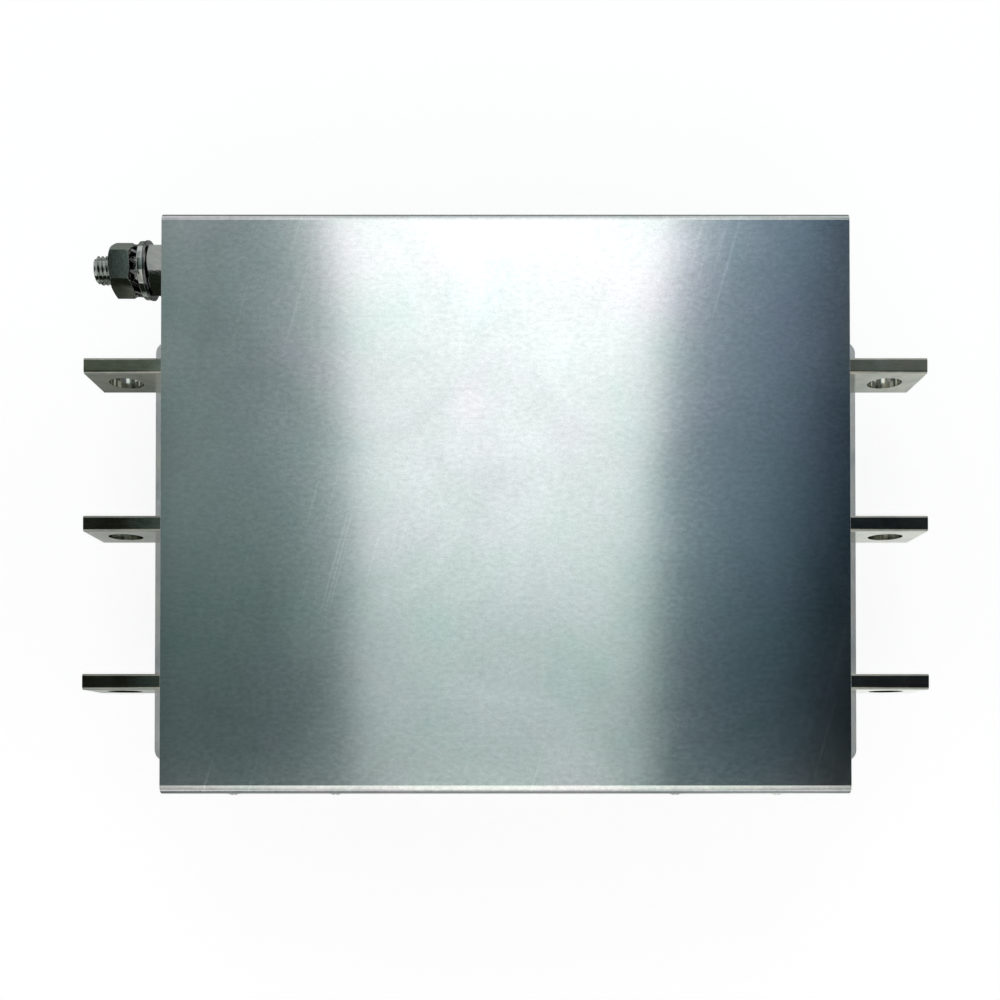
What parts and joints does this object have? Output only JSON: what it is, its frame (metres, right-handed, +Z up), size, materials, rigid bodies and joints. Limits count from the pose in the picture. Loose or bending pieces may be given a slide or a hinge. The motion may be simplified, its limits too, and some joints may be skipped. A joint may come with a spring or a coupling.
{
  "type": "three-phase line filter",
  "caption": "Sheet-metal power line filter with flat busbar terminals at both ends, a nutted earth stud at the line end and mounting feet.",
  "frame": {"origin": "centre of the mounting face, on the plate that the feet stand on", "axes": "+X along the busbars to the load end, +Y towards the side with the earth stud, +Z up"},
  "size_m": [0.32, 0.2078, 0.1],
  "materials": {
    "cover_sheet": "rolled stainless sheet, fine grain, light smudges",
    "chassis_sheet": "zinc-coated steel sheet",
    "terminal_metal": "tin-plated copper, dull silver",
    "stud_metal": "bright plated steel",
    "dark_washer": "darkened spring steel",
    "screw_metal": "zinc-plated steel",
    "insulator_plastic": "black moulded thermoset",
    "carrier_plastic": "natural moulded plastic",
    "tray_plastic": "black moulded plastic",
    "core_tape": "wound soft magnetic tape",
    "board_laminate": "glass-fibre laminate",
    "capacitor_case": "moulded film capacitor",
    "earth_capacitor_case": "dipped capacitor",
    "resistor_coat": "coated resistor",
    "post_brass": "turned brass",
    "bracket_copper": "bare copper"
  },
  "bodies": {
    "root": {"top_cover": "cover_sheet", "base_plate": "chassis_sheet", "end_panel_line": "chassis_sheet", "end_panel_load": "chassis_sheet", "insulator_line": "insulator_plastic", "insulator_load": "insulator_plastic", "insulator_screws": "screw_metal", "busbar_l1": "terminal_metal", "busbar_l2": "terminal_metal", "busbar_l3": "terminal_metal", "bar_carrier": "carrier_plastic", "choke_core_1": "core_tape", "choke_core_2": "core_tape", "choke_core_3": "core_tape", "core_tray_1": "tray_plastic", "core_tray_2": "tray_plastic", "core_tray_3": "tray_plastic", "core_lid_1": "tray_plastic", "core_lid_2": "tray_plastic", "core_lid_3": "tray_plastic", "core_cradle": "carrier_plastic", "core_clamp_left": "chassis_sheet", "core_clamp_right": "chassis_sheet", "clamp_screws": "screw_metal", "capacitor_board_line": "board_laminate", "capacitor_board_load": "board_laminate", "x_capacitor_line_1": "capacitor_case", "x_capacitor_line_2": "capacitor_case", "x_capacitor_line_3": "capacitor_case", "x_capacitor_load_1": "capacitor_case", "x_capacitor_load_2": "capacitor_case", "x_capacitor_load_3": "capacitor_case", "y_capacitor_1": "earth_capacitor_case", "y_capacitor_2": "earth_capacitor_case", "y_capacitor_3": "earth_capacitor_case", "discharge_resistor_1": "resistor_coat", "discharge_resistor_2": "resistor_coat", "discharge_resistor_3": "resistor_coat", "board_posts": "post_brass", "board_screws": "screw_metal", "earth_bracket": "bracket_copper", "earth_bracket_rivet": "screw_metal", "earth_bolt": "stud_metal", "earth_jam_nut": "stud_metal", "earth_washer_thin": "dark_washer", "earth_washer_thick": "stud_metal", "earth_lock_washer": "dark_washer", "earth_nut": "stud_metal", "cover_screws": "screw_metal", "base_rivets": "screw_metal"}
  },
  "joints": []
}
